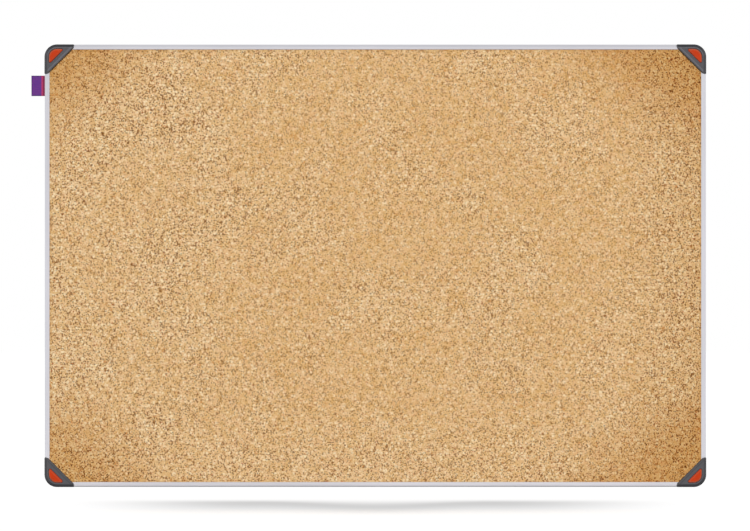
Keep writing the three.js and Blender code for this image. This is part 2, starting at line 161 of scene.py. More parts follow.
class Graph:
    """A node tree in the making."""

    def __init__(self, tree: bpy.types.NodeTree) -> None:
        """Keeps the tree."""
        self.tree = tree

    def add(
        self,
        kind: str,
        settings: Mapping[str, object] | None = None,
        sockets: Mapping[str | int, Value] | None = None,
        output: str | int = 0,
    ) -> Wire:
        """Adds one node.

        Args:
            kind: The node's type.
            settings: Its properties, which are set first. A ramp's colours are given as stops.
            sockets: Values or links of its input sockets, by name or number.
            output: The output that is wanted, by name or number.

        Returns:
            That output.
        """
        node = self.tree.nodes.new(kind)
        for name, value in (settings or {}).items():
            if name == "stops":
                self.set_stops(node, value)
            else:
                setattr(node, name, value)
        for key, value in (sockets or {}).items():
            self.feed(node.inputs[key], value)
        return Wire(self, node.outputs[output])

    def feed(self, socket: bpy.types.NodeSocket, value: Value) -> None:
        """Links a wire to an input socket, or sets a plain value on it.

        Args:
            socket: The input socket.
            value: A wire, a number or a tuple.
        """
        if isinstance(value, Wire):
            self.tree.links.new(value.socket, socket)
        else:
            socket.default_value = value

    @staticmethod
    def set_stops(node: bpy.types.Node, stops: Sequence[tuple[float, Colour]]) -> None:
        """Gives a colour ramp its stops.

        Args:
            node: The ramp.
            stops: Places from 0 to 1 with their colours, in rising order.
        """
        elements = node.color_ramp.elements
        while len(elements) < len(stops):
            elements.new(1.0)
        for element, (place, colour) in zip(elements, stops):
            element.position = place
            element.color = colour

    def place(self) -> Wire:
        """The point on the piece, in the piece's own frame."""
        return self.add("ShaderNodeTexCoord", output="Object")

    def parts(self, vector: Wire) -> tuple[Wire, Wire, Wire]:
        """The three numbers of a vector or colour."""
        split = self.add("ShaderNodeSeparateXYZ", None, {0: vector})
        return split, split.output(1), split.output(2)

    def scaled(self, vector: Wire, scales: tuple[float, float, float]) -> Wire:
        """A vector with each of its numbers scaled."""
        return self.add("ShaderNodeVectorMath", {"operation": "MULTIPLY"}, {0: vector, 1: scales})

    def bent(self, vector: Wire, size: float, amount: float) -> Wire:
        """A point moved about at random, so that straight patterns become irregular.

        Args:
            vector: The point.
            size: Size of the waves.
            amount: How far a point may move.

        Returns:
            The moved point.
        """
        waves = self.noise(vector, size, 1.0).output(1)
        return self.add(
            "ShaderNodeVectorMath", {"operation": "MULTIPLY_ADD"}, {0: waves, 1: (amount,) * 3, 2: vector}
        )

    def noise(self, vector: Wire, size: float, detail: float = 3.0, roughness: float = 0.5) -> Wire:
        """Soft noise with features of about a given size.

        Args:
            vector: The point.
            size: Size of the largest features.
            detail: How many finer layers are added.
            roughness: How strong the finer layers are.

        Returns:
            The noise, from 0 to 1; its second output is a colour.
        """
        sockets = {"Vector": vector, "Scale": 1 / size, "Detail": detail, "Roughness": roughness}
        return self.add("ShaderNodeTexNoise", None, sockets)

    def cells(self, vector: Wire, size: float, feature: str = "F1", space: str = "3D") -> Wire:
        """Irregular cells of about a given size.

        Args:
            vector: The point.
            size: Width of a cell.
            feature: F1 for the distance from a cell's middle, DISTANCE_TO_EDGE for that from its edge.
            space: 3D, or 2D for cells that depend on X and Y alone.

        Returns:
            The distance in cell widths; for F1 the second output is a random colour for each cell.
        """
        settings = {"feature": feature, "voronoi_dimensions": space}
        return self.add("ShaderNodeTexVoronoi", settings, {"Vector": vector, "Scale": 1 / size})

    def blend(
        self, factor: Wire | float, first: Wire | Colour, second: Wire | Colour, mode: str = "MIX"
    ) -> Wire:
        """A mix of two colours.

        Args:
            factor: Share of the second colour.
            first: First colour.
            second: Second colour.
            mode: How they mix.

        Returns:
            The mixed colour.
        """
        settings = {"data_type": "RGBA", "blend_type": mode}
        return self.add("ShaderNodeMix", settings, {0: factor, 6: first, 7: second}, output=2)

    def ramp(self, factor: Wire, *stops: tuple[float, Colour]) -> Wire:
        """A colour picked along a ramp."""
        return self.add("ShaderNodeValToRGB", {"stops": stops}, {0: factor})

    def sight(self) -> tuple[Wire, Wire]:
        """Masks of the rays that see the background straight, and of those that see it in or through a piece.

        Returns:
            The two masks.
        """
        straight = self.add("ShaderNodeLightPath", output="Is Camera Ray")
        mirrored, through = straight.output("Is Glossy Ray"), straight.output("Is Transmission Ray")
        return straight, straight.math("MAXIMUM", mirrored, through) * (1 - straight)

    def bump(self, height: Wire, depth: float, strength: float = 1.0) -> Wire:
        """A normal that follows a height of 0 to 1, as deep as the given depth."""
        return self.add("ShaderNodeBump", None, {"Strength": strength, "Distance": depth, "Height": height})


class Finish(ABC):
    """How a surface looks, and the name of its material."""

    name: str

    @abstractmethod
    def paint(self, graph: Graph) -> dict[str, Value]:
        """Adds the finish's nodes and gives the values or links of the surface shader's sockets."""


@cache
def material_of(finish: Finish) -> bpy.types.Material:
    """The material of a finish, made once.

    Args:
        finish: The finish.

    Returns:
        Its material.
    """
    material = bpy.data.materials.new(finish.name)
    material.use_nodes = True
    graph = Graph(material.node_tree)
    surface = material.node_tree.nodes["Principled BSDF"]
    for name, value in finish.paint(graph).items():
        graph.feed(surface.inputs[name], value)
    return material


@dataclass(frozen=True)
class CorkFinish(Finish):
    """Pressed cork: grains of several hues with dark and pale specks between them, and painted shade in the
    corners and along the rails.

    A pair gives the values at which a mask is 0 and 1.
    """

    name: str = "cork"
    grain: float = 6 * MM
    crumb: float = 1.2 * MM
    speck: float = 1.8 * MM
    flake: float = 4.6 * MM
    bit: float = 5 * MM
    clump: float = 9 * MM
    patch: float = 120 * MM
    grain_bend: float = 0.5
    speck_waves: float = 1.6
    speck_bend: float = 0.8
    gap_run: float = 0.8
    calm: float = 0.6
    patch_share: float = 0.55
    patch_edge: Pair = (0.42, 0.62)
    left_end: Pair = (-0.2, -0.6)
    right_end: Pair = (0.7, 0.92)
    bottom_end: Pair = (-0.55, -0.9)
    bottom_share: float = 0.7
    half_width: float = 450 * MM
    half_height: float = 301 * MM
    light_middle: float = -18 * MM
    relief: float = 0.3 * MM
    golden: Colour = srgb(224, 178, 116)
    tan: Colour = srgb(226, 183, 125)
    rosy: Colour = srgb(228, 182, 127)
    cream: Colour = srgb(231, 193, 142)
    palest: Colour = srgb(249, 230, 191)
    amber: Colour = srgb(206, 134, 70)
    brown: Colour = srgb(122, 64, 0)
    darkest: Colour = srgb(76, 32, 0)
    rusty: Colour = srgb(186, 92, 34)
    gap_brown: Colour = srgb(168, 110, 16)
    dusky: Colour = srgb(158, 92, 4)
    raised: float = 0.13
    light_share: float = 0.25
    dark_share: float = 0.15
    light_crumbs: float = 0.7
    dark_crumbs: float = 0.8
    crumb_blur: float = 0.08
    crowding: float = 0.25
    clump_edge: Pair = (0.36, 0.64)
    flake_edge: Pair = (0.42, 0.3)
    flake_cover: float = 0.7
    speck_edge: Pair = (0.66, 0.56)
    bit_edge: Pair = (0.18, 0.11)
    gap_edge: Pair = (0.1, 0.04)
    gap_breaks: Pair = (0.48, 0.6)
    chance_blur: float = 0.05
    flakes_left_out: float = 0.78
    specks_left_out: float = 0.82
    bits_left_out: float = 0.4
    flakes: float = 0.8
    gaps: float = 0.3
    specks: float = 0.95
    bits: float = 0.9
    # Painted shade in the corners, and a darker brown tint towards the right end
    painted_corner_shade: Colour = (0.82, 0.68, 0.48, 1.0)
    side_tint: Colour = (0.92, 0.87, 0.79, 1.0)
    # Painted shade along the rails, where their lips shade the sheet
    painted_rail_shade: Colour = (0.93, 0.9, 0.84, 1.0)
    corner_shade_edge: Pair = (0.44, 0.88)
    side_start: float = 0.7
    rail_shade: Pair = (12 * MM, 7 * MM)

    def paint(self, graph: Graph) -> dict[str, Value]:
        """Adds grains, flakes, crumbs, gaps, specks, dark bits, and painted shade in the corners and along
        the rails.

        Args:
            graph: The material's nodes.

        Returns:
            Links of the shader's sockets.
        """
        x, _, z = graph.parts(graph.place())
        flat = graph.add("ShaderNodeCombineXYZ", None, {0: x, 1: z})
        contrast = self.contrast(graph, flat)
        bent = graph.bent(flat, self.grain, self.grain * self.grain_bend)
        shaken = graph.bent(flat, self.speck * self.speck_waves, self.speck * self.speck_bend)

        # Grains of several hues, a little paler where the contrast is strong
        hue = graph.parts(graph.cells(bent, self.grain, "F1", "2D").output(1))[0]
        colour = graph.ramp(hue, (0.1, self.golden), (0.4, self.tan), (0.7, self.rosy), (0.95, self.cream))
        colour = graph.blend(contrast.rise(self.calm, 1.0) * self.raised, colour, self.palest)

        # Pale and amber flakes, and pale crumbs
        flake = self.dots(graph, bent, self.flake, self.flake_edge, self.flakes_left_out) * contrast
        flake_colour = graph.ramp(hue, (0.14, self.amber), (0.22, self.palest))
        colour = graph.blend(flake * self.flakes, colour, flake_colour)
        tone = graph.parts(graph.cells(shaken, self.crumb, "F1", "2D").output(1))[0]
        crowded = graph.noise(bent, self.clump, 2.0).rise(*self.clump_edge) * self.crowding
        light = 1 - self.light_share
        pale = tone.rise(light - self.crumb_blur, light + self.crumb_blur) * contrast * (1 - crowded)
        colour = graph.blend(pale * self.light_crumbs, colour, self.palest)

        # Dark crumbs, gaps between grains and dark specks, of which the flakes are nearly bare
        bare = contrast * (1 - self.flake_cover * flake) * (1 - self.crowding + crowded)
        dark = tone.rise(self.dark_share + self.crumb_blur, self.dark_share - self.crumb_blur) * bare
        colour = graph.blend(dark * self.dark_crumbs, colour, self.dusky)
        edge = graph.cells(bent, self.grain, "DISTANCE_TO_EDGE", "2D")
        broken = graph.noise(flat, self.grain * self.gap_run, 2.0).rise(*self.gap_breaks)
        gap = edge.rise(*self.gap_edge) * broken * bare
        colour = graph.blend(gap * self.gaps, colour, self.gap_brown)
        speck = self.dots(graph, shaken, self.speck, self.speck_edge, self.specks_left_out) * bare
        colour = graph.blend(speck * self.specks, colour, self.brown)

        # Dark and rusty bits
        bit = self.dots(graph, bent, self.bit, self.bit_edge, self.bits_left_out) * contrast
        bit_colour = graph.ramp(hue, (0.6, self.darkest), (0.75, self.rusty))
        colour = graph.blend(bit * self.bits, colour, bit_colour)

        height = tone * 0.4 + flake * 0.3 - gap * 0.4 - speck * 0.5 - bit * 0.5
        return {
            # The base colour carries painted shade in the corners and along the rails
            "Base Color": self.with_painted_shade(graph, flat, colour),
            "Roughness": 0.82 + tone * 0.12,
            "Specular IOR Level": 0.15,
            "Normal": graph.bump(height, self.relief, 0.4),
        }

    def dots(self, graph: Graph, flat: Wire, size: float, edge: Pair, left_out: float) -> Wire:
        """Scatters round dots over the sheet.

        Args:
            graph: The material's nodes.
            flat: The point on the sheet.
            size: Distance from dot to dot.
            edge: Radii, in distances, at which a dot begins and is full.
            left_out: Share of the dots that is left out.

        Returns:
            A mask of the dots.
        """
        cells = graph.cells(flat, size, "F1", "2D")
        chance = graph.parts(cells.output(1))[1]
        return cells.rise(*edge) * chance.rise(left_out - self.chance_blur, left_out + self.chance_blur)

    def contrast(self, graph: Graph, flat: Wire) -> Wire:
        """How strongly the specks stand out: most on the left, at the bottom and at the right end.

        Args:
            graph: The material's nodes.
            flat: The point on the sheet.

        Returns:
            The contrast, up to 1.
        """
        x, z, _ = graph.parts(flat)
        across, up = x / self.half_width, z / self.half_height
        patches = graph.noise(flat, self.patch, 1.0).rise(*self.patch_edge)
        strong = self.patch_share * patches + (1 - self.patch_share) * across.rise(*self.left_end)
        for rough in (across.rise(*self.right_end), self.bottom_share * up.rise(*self.bottom_end)):
            strong = strong.math("MAXIMUM", strong, rough)
        return self.calm + (1 - self.calm) * strong

    def with_painted_shade(self, graph: Graph, flat: Wire, colour: Wire) -> Wire:
        """Paints shade into the sheet's corners and along its rails, and tints it darker brown towards its
        right end.

        Args:
            graph: The material's nodes.
            flat: The point on the sheet.
            colour: The colour so far.

        Returns:
            The colour with the painted shade.
        """
        x, z, _ = graph.parts(flat)
        across = abs(x - self.light_middle) / self.half_width
        up = abs(z) / self.half_height
        # Painted shade in the corners, fading towards the middle
        colour = graph.blend((across * up).rise(*self.corner_shade_edge), colour, self.painted_corner_shade, "MULTIPLY")
        # Darker brown towards the right end
        right_end = x.rise(self.side_start * self.half_width, self.half_width)
        colour = graph.blend(right_end, colour, self.side_tint, "MULTIPLY")
        # Painted shade along the rails
        from_side = self.half_width - abs(x)
        nearest = from_side.math("MINIMUM", from_side, self.half_height - abs(z))
        return graph.blend(nearest.rise(*self.rail_shade), colour, self.painted_rail_shade, "MULTIPLY")


@dataclass(frozen=True)
class SoftboardFinish(Finish):
    """Soft fibreboard: short matted fibres."""

    name: str = "softboard"
    fibre: float = 2.5 * MM
    light: Colour = srgb(190, 162, 124)
    dark: Colour = srgb(140, 110, 76)

    def paint(self, graph: Graph) -> dict[str, Value]:
        """Adds matted fibres.

        Args:
            graph: The material's nodes.

        Returns:
            Links of the shader's sockets.
        """
        place = graph.place()
        strands = graph.noise(graph.scaled(place, (0.35, 1.0, 1.0)), self.fibre, 4.0, 0.7)
        clumps = graph.noise(place, self.fibre * 9, 2.0)
        colour = graph.blend((strands * 0.7 + clumps * 0.3).rise(0.3, 0.7), self.dark, self.light)
        return {"Base Color": colour, "Roughness": 0.95, "Normal": graph.bump(strands, 0.4 * MM, 0.6)}


@dataclass(frozen=True)
class KraftFinish(Finish):
    """Brown kraft-faced board: machine streaks, fibres and small dark flecks."""

    name: str = "kraft"
    streak: float = 5 * MM
    fibre: float = 1.6 * MM
    fleck: float = 4 * MM
    cloud: float = 120 * MM
    light: Colour = srgb(186, 146, 104)
    dark: Colour = srgb(146, 106, 70)
    fleck_brown: Colour = srgb(98, 66, 38)

    def paint(self, graph: Graph) -> dict[str, Value]:
        """Adds streaks, fibres, flecks and faint clouds.

        Args:
            graph: The material's nodes.

        Returns:
            Links of the shader's sockets.
        """
        place = graph.place()
        streaks = graph.noise(graph.scaled(place, (0.04, 1.0, 1.0)), self.streak, 3.0)
        fibres = graph.noise(graph.scaled(place, (0.3, 1.0, 1.0)), self.fibre, 3.0, 0.65)
        clouds = graph.noise(place, self.cloud, 3.0)
        shade = streaks * 0.35 + fibres * 0.4 + clouds * 0.25
        colour = graph.blend(shade.rise(0.32, 0.68), self.dark, self.light)
        specks = graph.cells(graph.scaled(place, (0.5, 1.0, 1.0)), self.fleck)
        chosen = graph.parts(specks.output(1))[0].rise(0.62, 0.7)
        fleck = specks.rise(0.2, 0.08) * chosen
        colour = graph.blend(fleck * 0.6, colour, self.fleck_brown)
        return {
            "Base Color": colour,
            "Roughness": 0.78 + fibres * 0.15,
            "Specular IOR Level": 0.3,
            "Normal": graph.bump(fibres * 0.6 + streaks * 0.4, 0.25 * MM, 0.5),
        }


@dataclass(frozen=True)
class AnodisedFinish(Finish):
    """Satin anodised aluminium with fine lines along the extrusion."""

    name: str = "anodised"
    line: float = 0.35 * MM
    cloud: float = 60 * MM
    light: Colour = srgb(225, 224, 230)
    dark: Colour = srgb(212, 211, 217)

    def paint(self, graph: Graph) -> dict[str, Value]:
        """Adds extrusion lines and faint clouds.

        Args:
            graph: The material's nodes.

        Returns:
            Links of the shader's sockets.
        """
        place = graph.place()
        lines = graph.noise(graph.scaled(place, (0.004, 1.0, 1.0)), self.line, 2.0)
        clouds = graph.noise(graph.scaled(place, (0.3, 1.0, 1.0)), self.cloud, 3.0)
        colour = graph.blend((lines * 0.6 + clouds * 0.4).rise(0.3, 0.7), self.dark, self.light)
        return {
            "Base Color": colour,
            "Metallic": 0.92,
            "Roughness": 0.34 + lines * 0.12,
            "Normal": graph.bump(lines, 0.02 * MM, 0.4),
        }


@dataclass(frozen=True)
class MouldedFinish(Finish):
    """Moulded plastic with a fine eroded grain, in one of several colours, with painted light and shade on
    its edges, slopes and walls.

    A pair gives the parts of the surface's normal at which a mask is 0 and 1.
    """

    name: str
    colour: Colour
    # Painted light and shade: on rounded edges, steep walls and gentle slopes
    painted_bevel_colour: Colour
    painted_wall_shade: Colour
    roughness: float
    shine: float
    upright_paint_share: float
    lit_colour: Colour
    shaded_colour: Colour
    grain: float = 0.45 * MM
    cloud: float = 9 * MM
    mottle: float = 0.1
    outer: Pair = (0.02, 0.1)
    turned: Pair = (0.975, 0.95)
    level: Pair = (0.05, 0.3)
    sloping: Pair = (1.0, 0.985)
    gentle: Pair = (0.92, 0.95)
    steep: Pair = (0.45, 0.2)
    lit_tilt: float = 0.1

    def paint(self, graph: Graph) -> dict[str, Value]:
        """Adds the grain, a faint mottle, and painted light and shade on the rounded edges, gentle slopes and
        steep walls.

        Args:
            graph: The material's nodes.

        Returns:
            Links of the shader's sockets.
        """
        place = graph.place()
        grain = graph.noise(place, self.grain, 2.0, 0.6)
        clouds = graph.noise(place, self.cloud, 3.0)
        across, along, up = graph.parts(graph.add("ShaderNodeTexCoord", output="Normal"))
        facing = abs(along)

        # Painted light on the rounded outer edges, dark shade on the grey caps and a pale highlight on the
        # orange covers, weaker on the upright sides
        outwards = (0 - across - up) * math.sqrt(0.5)
        skywards = graph.parts(graph.add("ShaderNodeNewGeometry", output="Normal"))[2]
        painted_bevel_share = self.upright_paint_share + (1 - self.upright_paint_share) * abs(skywards).rise(*self.level)
        edge = outwards.rise(*self.outer) * facing.rise(*self.turned) * painted_bevel_share

        # Painted light and shade on gentle slopes of the face, as if lit from above; then the painted edges,
        # painted shade on steep walls, and the mottle
        slope = facing.rise(*self.sloping) * facing.rise(*self.gentle)
        colour = graph.blend(slope * skywards.rise(0.0, self.lit_tilt), self.colour, self.lit_colour)
        colour = graph.blend(slope * skywards.rise(0.0, -self.lit_tilt), colour, self.shaded_colour)
        colour = graph.blend(edge, colour, self.painted_bevel_colour)
        # Painted shade on steep walls: the dark line round a cover and along a cap's diagonal
        colour = graph.blend(facing.rise(*self.steep), colour, self.painted_wall_shade)
        shadow = (1 - self.mottle, 1 - self.mottle, 1 - self.mottle, 1.0)
        colour = graph.blend((clouds * 0.6 + grain * 0.4).rise(0.62, 0.35), colour, shadow, "MULTIPLY")
        return {
            "Base Color": colour,
            "Roughness": self.roughness - 0.06 + grain * 0.12,
            "Specular IOR Level": self.shine,
            "Normal": graph.bump(grain, 0.05 * MM, 0.35),
        }


@dataclass(frozen=True)
class ZincFinish(Finish):
    """Bright zinc plating with a faint spangle and a few dull spots."""

    name: str
    light: Colour
    dark: Colour
    spangle: float = 3.5 * MM

    def paint(self, graph: Graph) -> dict[str, Value]:
        """Adds the spangle and the dull spots.

        Args:
            graph: The material's nodes.

        Returns:
            Links of the shader's sockets.
        """
        place = graph.place()
        crystals = graph.cells(graph.bent(place, self.spangle, self.spangle), self.spangle)
        spangle = graph.parts(crystals.output(1))[0]
        dull = graph.noise(place, self.spangle * 1.8, 4.0, 0.6).rise(0.52, 0.68)
        colour = graph.blend(spangle * 0.6 + dull * 0.4, self.light, self.dark)
        scratches = graph.noise(graph.scaled(place, (1.0, 1.0, 0.06)), 0.3 * MM, 2.0)
        return {
            "Base Color": colour,
            "Metallic": 0.95,
            "Roughness": 0.26 + dull * 0.2 + scratches * 0.08,
            "Normal": graph.bump(scratches, 0.02 * MM, 0.4),
        }


@dataclass(frozen=True)
class RibbonFinish(Finish):
    """Woven ribbon in purple, with a pink stripe along the rail, darker selvedges, and painted shade along
    the fold and on the stripe beside the rail.
    """

    name: str = "ribbon"
    warp_pitch: float = 0.42 * MM
    weft_pitch: float = 0.62 * MM
    stripe: float = 6.8 * MM
    stripe_shade_start: float = 4.9 * MM
    stripe_blur: float = 0.25 * MM
    stripe_shade_blur: float = 0.4 * MM
    slub: float = 0.9 * MM
    half_width: float = 13.9 * MM
    reach: float = 20.4 * MM
    selvedge: Pair = (1.6 * MM, 0.5 * MM)
    fold: Pair = (1.5 * MM, 0.3 * MM)
    purple: Colour = srgb(98, 52, 138)
    plum: Colour = srgb(114, 56, 134)
    # Darker purple of the selvedges, also used as painted shade along the fold
    dark_purple_and_fold_shade: Colour = srgb(64, 30, 98)
    pink: Colour = srgb(184, 60, 104)
    # Painted shade on the stripe beside the rail
    shaded_stripe_pink: Colour = srgb(134, 40, 72)

    def paint(self, graph: Graph) -> dict[str, Value]:
        """Adds the weave, the stripe, the selvedges, and painted shade along the fold and beside the rail.

        Args:
            graph: The material's nodes.

        Returns:
            Links of the shader's sockets.
        """
        place = graph.place()
        x, _, z = graph.parts(place)
        warp = (z * (2 * math.pi / self.warp_pitch)).sine()
        weft = (x * (2 * math.pi / self.weft_pitch)).sine()
        weave = 0.5 + 0.5 * warp * weft
        slub = graph.noise(graph.scaled(place, (0.12, 1.0, 1.0)), self.slub, 2.0)
        ground = graph.blend(slub.rise(0.4, 0.66), self.purple, self.plum)
        # Darker selvedges, and painted shade along the fold
        selvedge = abs(z).rise(*(self.half_width - inwards for inwards in self.selvedge))
        fold = x.rise(*(inwards - self.reach for inwards in self.fold))
        ground = graph.blend(selvedge.math("MAXIMUM", selvedge, fold) * 0.85, ground, self.dark_purple_and_fold_shade)
        # Painted shade on the stripe where it meets the rail
        turn = x.rise(-self.stripe_shade_blur - self.stripe_shade_start, self.stripe_shade_blur - self.stripe_shade_start)
        shaded_stripe = graph.blend(turn, self.pink, self.shaded_stripe_pink)
        in_stripe = x.rise(-self.stripe_blur - self.stripe, self.stripe_blur - self.stripe)
        colour = graph.blend(in_stripe, ground, shaded_stripe)
        colour = graph.blend(weave.rise(0.35, 0.0) * 0.35, colour, self.dark_purple_and_fold_shade)
        return {
            "Base Color": colour,
            "Roughness": 0.62 + weave * 0.2,
            "Sheen Weight": 0.25,
            "Sheen Roughness": 0.4,
            "Normal": graph.bump(weave, 0.12 * MM, 0.6),
        }


@dataclass(frozen=True)
class FloorFinish(Finish):
    """A pale floor whose emission paints a soft shadow, which curves forward at both ends of the board, over
    the faint real shadow of the sky light.
    """

    name: str = "pale_floor"
    white: float = 0.915
    grey: float = 0.3
    shadow_white: float = 0.54
    shadow_ends: Pair = (160 * MM, 450 * MM)
    shadow_rims: Pair = (-115 * MM, 98 * MM)
    shadow_core: Pair = (-3 * MM, 45 * MM)
    mirrored_reach: float = 70 * MM
    mirrored_shade: float = 0.8

    def paint(self, graph: Graph) -> dict[str, Value]:
        """Adds the painted shadow, as it is seen straight and as the board mirrors it.

        Args:
            graph: The material's nodes.

        Returns:
            Links of the shader's sockets.
        """
        x, y, _ = graph.parts(graph.place())
        near, far = self.shadow_rims
        inner, outer = self.shadow_ends
        middle, sides = self.shadow_core
        core = middle + (sides - middle) * abs(x).rise(0.0, inner)
        behind, before = (far - y) / (far - core), (y - near) / (core - near)
        shadow = before.math("MINIMUM", behind, before).rise(0.0, 1.0) * abs(x).rise(outer, inner)
        close = abs(y - middle).rise(self.mirrored_reach, 0.0)
        straight, mirrored = graph.sight()
        seen_white = self.white - shadow * (self.white - self.shadow_white)
        mirrored_white = self.white * (1 - self.mirrored_shade * close)
        return {
            "Base Color": (self.grey, self.grey, self.grey, 1.0),
            "Roughness": 1.0,
            "Specular IOR Level": 0.0,
            "Emission Color": straight * seen_white + mirrored * mirrored_white,
            "Emission Strength": 1.0,
        }


CORK = CorkFinish()
SOFTBOARD = SoftboardFinish()
KRAFT = KraftFinish()
ALUMINIUM = AnodisedFinish()
# Grey caps: painted shade on edges and walls, painted light and shade on gentle slopes
GREY_PLASTIC = MouldedFinish(
    name="grey_plastic",
    colour=srgb(84, 83, 87),
    painted_bevel_colour=srgb(44, 44, 48),
    painted_wall_shade=srgb(50, 50, 53),
    lit_colour=srgb(108, 107, 113),
    shaded_colour=srgb(76, 76, 80),
    roughness=0.5,
    shine=0.45,
    upright_paint_share=0.55,
)
# Orange covers: painted highlight on the rim, painted shade on walls, painted light and shade on slopes
ORANGE_PLASTIC = MouldedFinish(
    name="orange_plastic",
    colour=srgb(200, 58, 6),
    painted_bevel_colour=srgb(188, 86, 56),
    painted_wall_shade=srgb(110, 28, 10),
    lit_colour=srgb(190, 78, 44),
    shaded_colour=srgb(188, 74, 38),
    roughness=0.42,
    shine=0.3,
    upright_paint_share=1.0,
)
ZINC_PLATE = ZincFinish("zinc_plate", srgb(206, 209, 214), srgb(168, 172, 180))
ZINC_SCREW = ZincFinish("zinc_screw", srgb(214, 210, 200), srgb(170, 166, 156), 1.2 * MM)
RIBBON = RibbonFinish()
PALE_FLOOR = FloorFinish()


@dataclass(frozen=True)
class Bend:
    """A corner of an outline and the radius that rounds it."""

    x: float
    z: float
    radius: float = 0.0


@dataclass(frozen=True)
class Outline:
    """A closed outline, drawn anticlockwise in the X-Z plane through its corners."""

    bends: tuple[Bend, ...]

    @classmethod
    def of(cls, *corners: tuple[float, ...]) -> "Outline":
        """An outline from x, z and radius, in millimetres."""
        return cls(tuple(Bend(*(size * MM for size in corner)) for corner in corners))

    @classmethod
    def circle(cls, x: float, z: float, radius: float) -> "Outline":
        """A round outline, in metres."""
        corners = ((1, -1), (1, 1), (-1, 1), (-1, -1))
        return cls(tuple(Bend(x + right * radius, z + up * radius, radius) for right, up in corners))

    def inset(self, *by: float) -> "Outline":
        """The outline with its sides moved inwards.

        Args:
            by: One distance for all the sides, or one for the side that follows each corner.

        Returns:
            The smaller outline, with as many points.
        """
        shifts = by * len(self.bends) if len(by) == 1 else by
        corners = [Vector((bend.x, bend.z)) for bend in self.bends]
        ways = [(after - corner).normalized() for corner, after in zip(corners, [*corners[1:], corners[0]])]
        starts = [
            corner + Vector((-way.y, way.x)) * shift for corner, way, shift in zip(corners, ways, shifts)
        ]
        moved = []
        for index, bend in enumerate(self.bends):
            before, after = ways[index - 1], ways[index]
            turn = before.cross(after)
            along = (starts[index] - starts[index - 1]).cross(after) / turn
            corner = starts[index - 1] + before * along
            change = math.copysign((shifts[index - 1] + shifts[index]) / 2, turn * (shifts[index] or 1))
            radius = max(bend.radius - change, LEAST_RADIUS) if bend.radius else 0.0
            moved.append(Bend(corner.x, corner.y, radius))
        return Outline(tuple(moved))

    def rounded(self, index: int, radius: float) -> "Outline":
        """The outline with another radius at one of its corners."""
        bend = replace(self.bends[index], radius=radius)
        return Outline((*self.bends[:index], bend, *self.bends[index + 1:]))

    def points(self) -> list[Vector]:
        """The outline's points, with each corner rounded by its radius.

        Returns:
            Points in the X-Z plane, anticlockwise.
        """
        placed = []
        corners = [Vector((bend.x, bend.z)) for bend in self.bends]
        for index, bend in enumerate(self.bends):
            corner = corners[index]
            if not bend.radius:
                placed.append(corner)
                continue
            to_before = (corners[index - 1] - corner).normalized()
            to_after = (corners[(index + 1) % len(corners)] - corner).normalized()
            half = to_before.angle(to_after) / 2
            sweep = math.copysign(math.pi - 2 * half, to_after.cross(to_before))
            middle = (to_before + to_after).normalized()
            centre = corner + middle * (bend.radius / math.sin(half))
            start = corner + to_before * (bend.radius / math.tan(half)) - centre
            steps = max(LEAST_ARC_STEPS, math.ceil(abs(sweep) / ARC_STEP - ARC_SLACK))
            for step in range(steps + 1):
                placed.append(centre + Matrix.Rotation(sweep * step / steps, 2) @ start)
        return placed


def loft(rings: Sequence[Sequence[Vector]]) -> bpy.types.Mesh:
    """A closed mesh through rings of as many points each, with a flat lid at both ends.

    Args:
        rings: The rings, from one end to the other.

    Returns:
        The mesh.
    """
    shell = bmesh.new()
    loops = [[shell.verts.new(point) for point in ring] for ring in rings]
    count = len(loops[0])
    for lower, upper in zip(loops, loops[1:]):
        for index in range(count):
            after = (index + 1) % count
            shell.faces.new((lower[index], lower[after], upper[after], upper[index]))
    shell.faces.new(reversed(loops[0]))
    shell.faces.new(loops[-1])
    bmesh.ops.remove_doubles(shell, verts=shell.verts[:], dist=MERGE_DISTANCE)
    bmesh.ops.recalc_face_normals(shell, faces=shell.faces[:])
    mesh = bpy.data.meshes.new("loft")
    shell.to_mesh(mesh)
    shell.free()
    return mesh


def prism(outline: Outline, profile: Profile) -> bpy.types.Mesh:
    """A solid along the depth, whose outline is moved inwards by a different inset at each depth.

    Args:
        outline: The outline in the X-Z plane.
        profile: Inset and depth in front of the wall, from one end to the other.

    Returns:
        The mesh.
    """
    rings = []
    for inset, depth in profile:
        rings.append([Vector((point.x, -depth, point.y)) for point in outline.inset(inset).points()])
    return loft(rings)


def slab(outline: Outline, back: float, front: float, edge: float = 0.0) -> bpy.types.Mesh:
    """A plain prism between two depths, with its two rims chamfered by an edge."""
    if not edge:
        return prism(outline, ((0.0, back), (0.0, front)))
    return prism(outline, ((edge, back), (0.0, back + edge), (0.0, front - edge), (edge, front)))


def drill(x: float, z: float, radius: float, back: float, front: float, flare: float) -> bpy.types.Mesh:
    """A cutter for a round hole between two depths, which opens out by a flare at both ends.

    Args:
        x: Place of the hole.
        z: Place of the hole.
        radius: Radius of the hole.
        back: Depth of the rear face that it goes through.
        front: Depth of the front face that it goes through.
        flare: Width of the countersink at each face.

    Returns:
        The cutter's mesh.
    """
    wide = -2 * flare
    profile = ((wide, back - flare), (0.0, back + flare), (0.0, front - flare), (wide, front + flare))
    return prism(Outline.circle(x, z, radius), profile)


